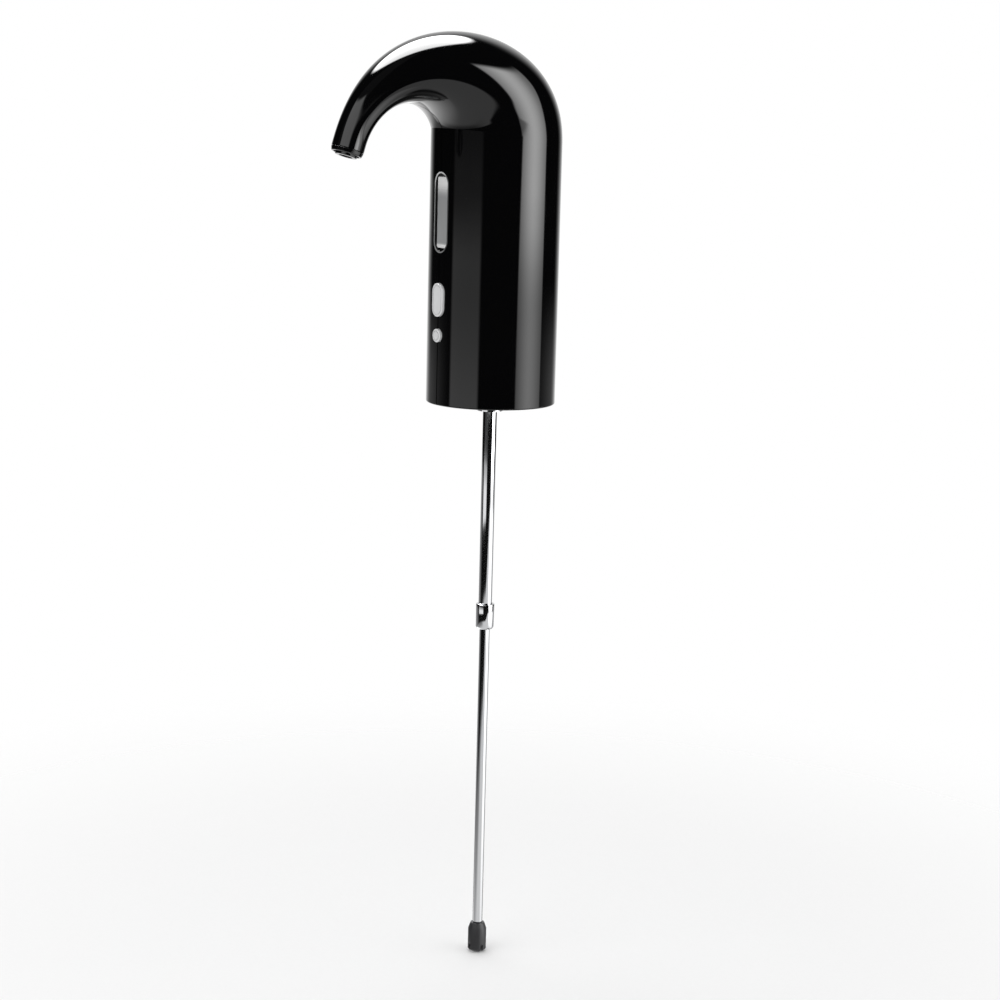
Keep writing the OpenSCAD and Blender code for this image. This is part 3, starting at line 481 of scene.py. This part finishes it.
def hookPath(c):  # stations as (y, z, turn, half depth, half width)
    lean, slant = math.radians(c["tilt"]), math.radians(c["archLean"])
    onward = Vector((math.sin(lean), -math.cos(lean)))
    across = Vector((math.cos(lean), math.sin(lean))) * c["tipRadius"]
    tip = Vector(c["tip"])
    heel = Vector((-c["radius"], c["bend"]))
    foot = Vector((c["radius"], c["bend"] + c["frontStep"]))
    back = [heel, heel + Vector((0, c["backRise"])), tip + across - onward * c["topRun"], tip + across]
    arch = [foot, foot + Vector((math.sin(slant), math.cos(slant))) * c["archRise"],
            tip - across - onward * c["archRun"], tip - across]

    def along(p, t):
        return (1 - t) ** 3 * p[0] + 3 * (1 - t) ** 2 * t * p[1] + 3 * (1 - t) * t * t * p[2] + t ** 3 * p[3]

    low, count, hook = c["rim"], c["barrelSteps"], c["hookSteps"]
    rings = [0, 0.006] + [k / count for k in range(1, count)] + [0.999]  # close rings hold the edges
    pairs = [(Vector((heel.x, low + (heel.y - low) * t)), Vector((foot.x, low + (foot.y - low) * t)))
             for t in rings]
    pairs += [(along(back, t), along(arch, t)) for t in [0, 0.002] + [k / hook for k in range(1, hook + 1)]]
    pairs.append((back[3] + onward * c["tail"], arch[3] + onward * c["tail"]))
    path = []
    for high, under in pairs:
        chord, middle = high - under, (high + under) / 2
        half = chord.length / 2
        path.append((-middle.x, middle.y, math.atan2(chord.y, -chord.x), half, min(half, c["radius"])))
    return path


def casingHalf(c):
    path = hookPath(c)
    deselect()
    bpy.ops.mesh.primitive_circle_add(vertices=2 * c["arcSteps"], radius=c["radius"] * unit,
                                      location=(0, 0, c["rim"] * unit))
    half = settle("casingRight")
    edit(half)
    pick(half, "VERT", lambda at: at.x < -1e-3)
    bpy.ops.mesh.delete(type="VERT")
    bpy.ops.mesh.select_all(action="SELECT")
    for (ya, za, ta, ra, wa), (yb, zb, tb, rb, wb) in zip(path, path[1:]):
        middle = (0, yb * unit, zb * unit)
        extrudeBy(0, yb - ya, zb - za)
        bpy.ops.transform.rotate(value=ta - tb, orient_axis="X", center_override=middle)
        bpy.ops.transform.resize(value=(wb / wa, rb / ra, rb / ra), center_override=middle)
    faceOut(half)
    edit(half)
    side = max(bmesh.from_edit_mesh(half.data).faces, key=lambda f: f.calc_center_median().x)
    if side.normal.x < 0:
        bpy.ops.mesh.flip_normals()
    bpy.ops.object.mode_set(mode="OBJECT")
    skin = len(half.data.vertices)
    apply(half, "SOLIDIFY", thickness=c["wall"] * unit, offset=-1, use_even_offset=True)
    edit(half)
    mesh = bmesh.from_edit_mesh(half.data)
    mesh.verts.ensure_lookup_table()
    for point in mesh.verts[:skin]:  # draws the outer edge back from the parting line
        if abs(point.co.x) < 1e-7:
            point.co.x = c["seam"] * max(edge.other_vert(point).co.x for edge in point.link_edges)
    pick(half, "EDGE", lambda a, b: max(a.z, b.z) < c["rim"] + 0.02
         and min(a.xy.length, b.xy.length) > c["radius"] - 0.02)
    bpy.ops.mesh.bevel(offset=c["rimRound"] * unit, segments=3, affect="EDGES")
    bpy.ops.object.mode_set(mode="OBJECT")
    return half


def onCrease(at, c):  # the slanted ring where the hook springs from the barrel
    level = c["bend"] + c["frontStep"] * (1 - at.y / c["radius"]) / 2
    return abs(at.z - level) < 0.02 and at.xy.length > c["radius"] - 0.1


casingRight = casingHalf(casing)
outside, inside = -casing["radius"] - 3, -casing["radius"] + casing["wall"] + 2
gap = buttons["gap"]
openings = [
    slab("slotCut", window["slot"][0] + 0.1, window["slot"][1] + 0.1, window["z"], inside, outside),
    slab("longCut", buttons["long"][0] + 2 * gap, buttons["long"][1] + 2 * gap, buttons["longZ"],
         inside, outside),
    slab("roundCut", buttons["round"] + 2 * gap, buttons["round"] + 2 * gap, buttons["roundZ"],
         inside, outside),
]
chargeCut = slab("chargeCut", charge["size"][0] + 2 * gap, charge["size"][1] + 2 * gap, 0, -inside, -outside)
hold(chargeCut)
chargeCut.rotation_euler = (0, math.pi / 2, 0)
chargeCut.location = (0, 0, charge["z"] * unit)
bpy.ops.object.transform_apply(location=True, rotation=True, scale=True)
for cutter in openings + [chargeCut]:
    cut(casingRight, cutter)
hold(casingRight)
bpy.ops.object.duplicate()
casingLeft = bpy.context.object
casingLeft.name = casingLeft.data.name = "casingLeft"
casingLeft.scale = (-1, 1, 1)
bpy.ops.object.transform_apply(location=True, rotation=True, scale=True)
faceOut(casingLeft)
for half, node in ((casingRight, "casing_right"), (casingLeft, "casing_left")):
    edit(half)
    pick(half, "EDGE", lambda a, b: onCrease(a, casing) and onCrease(b, casing))
    bpy.ops.mesh.mark_sharp()
    smooth(half)
    dress(half, "body", "gloss_black", node)


# window: a tray flush with the barrel, and its lens
def barrelSkin(grow):  # the barrel's round, grown by a distance, to trim what lies in it
    return turned("skin", [(casing["radius"] + grow, -40), (casing["radius"] + grow, 120)], 256, closed=False)


def windowTray(w):
    wide, tall = w["slot"]
    front = -casing["radius"]
    inner = -math.sqrt((casing["radius"] - casing["wall"]) ** 2 - (wide / 2 + w["lip"]) ** 2) + 0.1
    tray = slab("windowTray", wide, tall, w["z"], inner + w["plate"], front - 2, 96)
    cut(tray, barrelSkin(0), "INTERSECT")
    cut(tray, slab("flange", wide + 2 * w["lip"], tall + 2 * w["lip"], w["z"],
                   inner + w["plate"], inner, 96), "UNION")
    cut(tray, slab("well", wide - 2 * w["edge"], tall - 2 * w["edge"], w["z"],
                   front + w["tray"], front - 3, 96))
    cut(tray, lensBlock("hole", w, 0.05, inner + w["plate"] + 1, front - 3))
    roundEdges(tray, 0.14, 2)
    smooth(tray)
    lens = lensBlock("windowLens", w, 0, inner + w["plate"] + 0.2, front + w["tray"])
    rear = inner + w["plate"]
    ledgeWide, ledgeTall = (size / 2 + w["ledge"] for size in w["lens"])
    cut(lens, block("ledge", (-ledgeWide, rear, w["z"] - ledgeTall),
                    (ledgeWide, rear + w["lensPlate"], w["z"] + ledgeTall)), "UNION")
    roundEdges(lens, 0.25, 3)
    smooth(lens)
    return tray, lens


def lensBlock(name, w, grow, yBack, yFront):  # rectangle with rounded corners, seen from the front
    wide, tall = w["lens"][0] / 2 + grow, w["lens"][1] / 2 + grow
    piece = block(name, (-wide, yFront, w["z"] - tall), (wide, yBack, w["z"] + tall))
    edit(piece)
    pick(piece, "EDGE", lambda a, b: abs(a.y - b.y) > 0.5)
    bpy.ops.mesh.bevel(offset=w["corner"] * unit, segments=6, affect="EDGES")
    bpy.ops.object.mode_set(mode="OBJECT")
    return piece


windowTrayPiece, windowLensPiece = windowTray(window)
dress(windowTrayPiece, "body", "gloss_black", "window_bezel", look=trayLook)
dress(windowLensPiece, "body", "clear_plastic", "window_lens", look=lensLook)


# two push buttons: grooved caps that follow the barrel, with a hidden lip behind the casing
def grooveRing(b, wide, tall, z):  # cutter for the line inside a cap's edge
    inset, width, depth = b["groove"]
    ring = slab("groove", wide - 2 * inset, tall - 2 * inset, z, b["back"], -casing["radius"] - 3, 96)
    cut(ring, slab("core", wide - 2 * inset - 2 * width, tall - 2 * inset - 2 * width, z, b["back"] + 1,
                   -casing["radius"] - 4, 96))
    return ring


def longButton(b):
    cap = slab("longButton", *b["long"], b["longZ"], b["back"] - 0.2, -casing["radius"] - 3, 96)
    cut(cap, barrelSkin(b["proud"]), "INTERSECT")
    roundEdges(cap, b["chamfer"], 3)
    ring = grooveRing(b, *b["long"], b["longZ"])
    cut(ring, barrelSkin(b["proud"] - b["groove"][2]))
    cut(cap, ring)
    cut(cap, slab("lip", b["long"][0] + 2 * b["lip"], b["long"][1] + 2 * b["lip"], b["longZ"],
                  b["back"], b["front"]), "UNION")
    smooth(cap)
    return cap


def roundButton(b):
    cap = slab("roundButton", b["round"], b["round"], b["roundZ"], b["back"] - 0.2, -casing["radius"] - 3, 96)
    deselect()
    crest = casing["radius"] + b["proud"] + 0.4
    bpy.ops.mesh.primitive_uv_sphere_add(segments=128, ring_count=64, radius=b["dome"] * unit,
                                         location=(0, (b["dome"] - crest) * unit, b["roundZ"] * unit))
    cut(cap, settle("dome"), "INTERSECT")
    roundEdges(cap, 0.3, 3)
    ring = grooveRing(b, b["round"], b["round"], b["roundZ"])
    cut(ring, barrelSkin(b["proud"] - b["groove"][2]))
    cut(cap, ring)
    cut(cap, slab("lip", b["round"] + 2 * b["lip"], b["round"] + 2 * b["lip"], b["roundZ"],
                  b["back"], b["front"]), "UNION")
    smooth(cap)
    return cap


dress(longButton(buttons), "power_button", "silver_satin", "power_button")
dress(roundButton(buttons), "mode_button", "silver_satin", "mode_button")

# spout end: a thin tapered collar with a groove, and the black nozzle inside it
spout = {"at": (0, -78.1, 96.6), "turn": 162.5, "radius": 7.35, "start": 3.1, "length": 2.2, "groove": 0.35,
         "rim": 1.5, "taper": 0.4, "edge": 0.5, "floor": 0.7, "nozzle": 4.95, "bore": 3, "proud": 1,
         "shoulder": 6, "cone": 2.5, "barb": 1.3, "barbBore": 0.8, "barbLength": 4.6}


def spoutCollar(s):
    r, a, b = s["radius"], s["start"], s["start"] + s["length"]
    hole, front = s["nozzle"] + 0.05, r - s["taper"]
    outer = [(hole, a), (r - s["groove"], a), (r - s["groove"], a + s["groove"]), (r, a + s["groove"])]
    curve = [(front - s["edge"] * (1 - math.cos(t)), b - s["edge"] * (1 - math.sin(t)))
             for t in (math.radians(15 * k) for k in range(7))]
    inner = [(r - s["rim"], b), (r - s["rim"], a + s["floor"]), (hole, a + s["floor"])]
    ring = turned("spoutCollar", outer + curve + inner, 128)
    roundEdges(ring, 0.16, 3)
    smooth(placed(ring, s["at"], s["turn"]))
    return ring


def spoutNozzle(s):
    out = s["start"] + s["length"] + s["proud"]
    top = -s["shoulder"]
    ring = turned("spoutNozzle", [
        (s["bore"], out), (s["bore"], -s["cone"]), (s["barbBore"], -s["shoulder"] + 1.5),
        (s["barbBore"], top - s["barbLength"]), (s["barb"], top - s["barbLength"]), (s["barb"], top),
        (s["nozzle"] - 1.5, top), (s["nozzle"], top + s["cone"]), (s["nozzle"], out)], 128)
    roundEdges(ring, 0.3, 4)
    smooth(placed(ring, s["at"], s["turn"]))
    return ring


dress(spoutCollar(spout), "body", "gloss_black", "nozzle_collar")
dress(spoutNozzle(spout), "body", "gloss_black", "nozzle_insert")

# bottle stopper: soft plug with three rounded lips and an air way
stopper = {"bore": 4.55, "flange": 13, "flangeTop": 2.2, "plug": 9.25, "length": 20, "end": 4, "taper": 1.6,
           "groove": 2, "depth": 0.7, "vent": 1, "ventAt": 7.05}


def bottleStopper(s):
    profile = [(s["bore"], s["flangeTop"]), (s["flange"], s["flangeTop"]), (s["flange"], 0), (s["plug"], 0)]
    for k in (1, 2, 3):
        middle = -k * s["length"] / 4
        profile += [(s["plug"], middle + s["groove"] / 2), (s["plug"] - s["depth"], middle + s["groove"] / 2),
                    (s["plug"] - s["depth"], middle - s["groove"] / 2), (s["plug"], middle - s["groove"] / 2)]
    low = -s["length"] - s["end"]
    profile += [(s["plug"], -s["length"]), (s["plug"] - s["taper"], low), (s["bore"], low)]
    plug = turned("bottleStopper", profile, 128)
    roundEdges(plug, 0.3, 3, 15)
    way = turned("vent", [(s["vent"], low - 2), (s["vent"], s["flangeTop"] + 2)], 32, closed=False)
    cut(plug, placed(way, (0, -s["ventAt"], 0), 0))
    smooth(plug)
    return plug


dress(bottleStopper(stopper), "body", "dark_silicone", "bottle_stopper")

# dip tube in two lengths, the collar at the joint and the strainer foot
tube = {"radius": 3.3, "wall": 0.4, "top": -8, "joint": -126, "slide": 2.5, "swage": 2.85, "swageLength": 6,
        "collar": 4.4, "grip": 8, "lip": 4, "foot": -290, "footRadius": 4.4, "footHeight": 14, "footGrip": 8,
        "slot": (1.6, 3.5)}


def upperTube(t):
    outer, bore = t["radius"], t["radius"] - t["wall"]
    pipe = turned("dipTubeUpper", [(outer, t["joint"]), (outer, t["top"]), (bore, t["top"]),
                                   (bore, t["joint"])], 128)
    roundEdges(pipe, 0.12, 2)
    smooth(pipe)
    return pipe


def lowerTube(t):
    low, stop = t["foot"] + t["footHeight"] - t["footGrip"], t["joint"] + 0.3
    bore, high = t["slide"] - t["wall"], stop + t["swageLength"]
    pipe = turned("dipTubeLower", [(t["slide"], low), (t["slide"], stop), (t["swage"], stop + 0.4),
                                   (t["swage"], high), (bore, high), (bore, low)], 128)
    roundEdges(pipe, 0.1, 2)
    smooth(pipe)
    return pipe


def jointCollar(t):
    low, high = t["joint"] - t["lip"], t["joint"] + t["grip"]
    ring = turned("tubeCollar", [
        (t["slide"] + 0.05, low), (t["collar"] - 0.7, low), (t["collar"], low + 1.2), (t["collar"], high),
        (t["radius"] + 0.05, high), (t["radius"] + 0.05, t["joint"]), (t["slide"] + 0.05, t["joint"])], 128)
    roundEdges(ring, 0.3, 3)
    smooth(ring)
    return ring


def strainerFoot(t):
    low, high = t["foot"], t["foot"] + t["footHeight"]
    bore = t["slide"] - t["wall"]
    foot = turned("tubeFoot", [
        (bore, low + 1.5), (bore, high - t["footGrip"]), (t["slide"] + 0.05, high - t["footGrip"]),
        (t["slide"] + 0.05, high), (t["slide"] + 0.8, high), (t["footRadius"], high - 3),
        (t["footRadius"], low + 1), (t["footRadius"] - 1, low)], 96, closed=False)
    for turn in (0, 1):
        half = [t["footRadius"] + 1, t["slot"][0] / 2][::1 - 2 * turn]
        cut(foot, block("slot", (-half[0], -half[1], low - 1), (half[0], half[1], low + t["slot"][1])))
    roundEdges(foot, 0.2, 2)
    smooth(foot)
    return foot


dress(upperTube(tube), "dip_tube", "tube_steel", "dip_tube_upper")
dress(jointCollar(tube), "dip_tube", "tube_steel", "tube_collar")
dress(lowerTube(tube), "tube_tip", "tube_steel", "dip_tube_lower")
dress(strainerFoot(tube), "tube_tip", "satin_black", "tube_foot")

# floor, lamps, background and camera
studio = {"floor": -290.4, "size": 1400, "fade": (0.16, 0.5), "ambient": 0.7,
          "top": {"round": -160, "up": 62, "reach": 24, "level": 14},
          "right": 7.5, "strip": 1.05, "high": 1.85, "ground": 1.0, "behind": 0.9,
          "rightRound": (44.5, 97), "stripRound": (-77, -23), "highUp": (9, 44), "horizon": (-30.5, 18.5),
          "duskRound": (-120, -28), "shadeRound": (112, 178), "behindUp": (-30, 40)}
camera = {"azimuth": 55.27, "distance": 1060.5, "height": 122.8, "pitch": 10.215, "roll": 1.472, "yaw": 0.309,
          "lens": 82.83}


def bearing(azimuth):  # direction on the floor, from the front towards the right
    return Vector((math.sin(math.radians(azimuth)), -math.cos(math.radians(azimuth)), 0))


def studioFloor(s):
    deselect()
    bpy.ops.mesh.primitive_plane_add(size=s["size"] * unit, location=(0, 0, s["floor"] * unit))
    floor = settle("studioFloor")
    look = bpy.data.materials.new("paleFloor")
    look.use_nodes = True
    tree = look.node_tree
    w = Wire(tree)
    paper = w.add("ShaderNodeBsdfDiffuse", {},
                  {"Color": w.noise(900, detail=1.0).between((0.92, 0.92, 0.92), (0.95, 0.95, 0.95))})
    clear = w.add("ShaderNodeBsdfTransparent")
    mixed = w.add("ShaderNodeMixShader", {}, {0: w.spread().step(*s["fade"]), 1: paper, 2: clear})
    w.feed(tree.nodes["Material Output"].inputs["Surface"], mixed)
    floor.data.materials.append(look)
    floor.visible_glossy = False


def softbox(name, azimuth, height, distance, size, radiance, aim):
    lamp = bpy.data.lights.new(name, "AREA")
    lamp.shape = "RECTANGLE"
    lamp.size, lamp.size_y = size[0] * unit, size[1] * unit
    lamp.energy = radiance * math.pi * lamp.size * lamp.size_y
    box = bpy.data.objects.new(name, lamp)
    bpy.context.scene.collection.objects.link(box)
    box.location = (bearing(azimuth) * distance + Vector((0, 0, height))) * unit
    box.visible_glossy = False
    box.rotation_euler = (Vector(aim) * unit - box.location).to_track_quat("-Z", "Y").to_euler()


def studioWorld(s):
    world = bpy.data.worlds.new("studio")
    bpy.context.scene.world = world
    world.use_nodes = True
    tree = world.node_tree
    w = Wire(tree)
    ray = tree.nodes.new("ShaderNodeLightPath")
    seen = Wire(tree, ray.outputs["Is Camera Ray"]) + Wire(tree, ray.outputs["Is Transmission Ray"])
    shine = Wire(tree, ray.outputs["Is Glossy Ray"])
    way = w.add("ShaderNodeTexCoord", out="Generated")

    def towards(x, y, z):
        return w.add("ShaderNodeVectorMath", {"operation": "DOT_PRODUCT"}, {0: way, 1: (x, y, z)},
                     out="Value")

    front = bearing(camera["azimuth"])
    round_ = w.sum("ARCTAN2", towards(-front.y, front.x, 0), towards(*front)) * (180 / math.pi)
    up = w.add("ShaderNodeMath", {"operation": "ARCSINE"}, {0: towards(0, 0, 1)}) * (180 / math.pi)

    def panel(value, low, high, soft):  # 1 between two angles, with soft ends
        return value.step(low - soft / 2, low + soft / 2) * (1 - value.step(high - soft / 2, high + soft / 2))

    lift = s["top"]
    over = bearing(camera["azimuth"] + lift["round"]) * math.cos(math.radians(lift["up"]))
    top = towards(over.x, over.y, math.sin(math.radians(lift["up"])))
    top = top.step(math.cos(math.radians(lift["reach"] + 2)), math.cos(math.radians(lift["reach"] - 2)))
    far = w.add("ShaderNodeMath", {"operation": "ABSOLUTE"}, {0: round_})
    # tall panel on the right, dimmer low down and with a slanted edge
    tall = (0.22 + 0.23 * up.step(-11, -8.2) + 0.55 * up.step(-5.5, -2.5)) * (
        1 - up.step(36, 44)) * up.step(-46, -22)
    slant = 4.5 * up.step(-6, 4) * (1 - round_.step(60, 75)) + 8 * up.step(5, 30) * round_.step(70, 90)
    right = panel(round_ - slant, *s["rightRound"], 3) * (0.15 + 0.85 * round_.step(32, 70)) * (
        1 - 0.75 * round_.step(68, 104)) * tall
    # faint strip on the left, brightest at its lower end
    strip = panel(round_, *s["stripRound"], 6) * up.step(-16, -14) * (
        0.05 + 0.1 * (1 - up.step(-3, 0)) + 0.4 * (1 - up.step(-4.4, -2.6)) + 0.45 * (1 - up.step(-9, -5)))
    # slanted panel above the camera
    high = (up + round_).step(-34, -28) * (1 - (up + 0.67 * round_).step(19, 23)) * panel(up, *s["highUp"], 4)
    # pale ground below a rising edge, with two darker sides
    dusk = panel(round_, *s["duskRound"], 40) * up.step(-46, -32)
    shallow = up.step(-58, -48)
    shade = round_.step(48, 72) * (1 - shallow) + panel(round_, *s["shadeRound"], 6) * shallow
    edge = s["horizon"][0] + s["horizon"][1] * round_.step(-20, 40) ** 3
    ground = (1 - (up - edge).step(-1.5, 1.5)) * (1 - 0.7 * dusk) * (1 - 0.95 * shade) * (
        0.75 + 0.9 * towards(*-front).step(-0.2, 0.8))
    # pale room behind the part
    behind = far.step(135, 166) * panel(up, *s["behindUp"], 20) + 0.32 * far.step(74, 128) * (
        1 - up.step(-7.6, -4.6))
    light = (lift["level"] * top + s["right"] * right + s["strip"] * strip + s["high"] * high
             + s["ground"] * ground + s["behind"] * behind + 0.004)
    level = seen + (1 - seen) * (shine * light + (1 - shine) * s["ambient"])
    w.feed(tree.nodes["Background"].inputs["Color"], (1, 1, 1, 1))
    w.feed(tree.nodes["Background"].inputs["Strength"], level)


def studioCamera(c):
    lens = bpy.data.cameras.new("camera")
    lens.lens = c["lens"]
    lens.sensor_width = 36
    eye = bpy.data.objects.new("camera", lens)
    bpy.context.scene.collection.objects.link(eye)
    eye.matrix_world = (
        Matrix.Translation((bearing(c["azimuth"]) * c["distance"] + Vector((0, 0, c["height"]))) * unit)
        @ Matrix.Rotation(math.radians(c["azimuth"] - c["yaw"]), 4, "Z")
        @ Matrix.Rotation(math.radians(90 - c["pitch"]), 4, "X")
        @ Matrix.Rotation(math.radians(c["roll"]), 4, "Z"))
    bpy.context.scene.camera = eye


studioFloor(studio)
studioWorld(studio)
view = camera["azimuth"]
softbox("rightBox", view + 74, 330, 1400, (1400, 900), 1.0, (0, 0, 60))
softbox("leftBox", view - 50, 500, 1400, (1500, 1000), 1.5, (0, 0, 60))
softbox("overhead", view - 165, 1300, 600, (900, 700), 2.3, (0, 0, 0))
studioCamera(camera)
bpy.context.scene.view_settings.view_transform = "Standard"
print("studio ready")
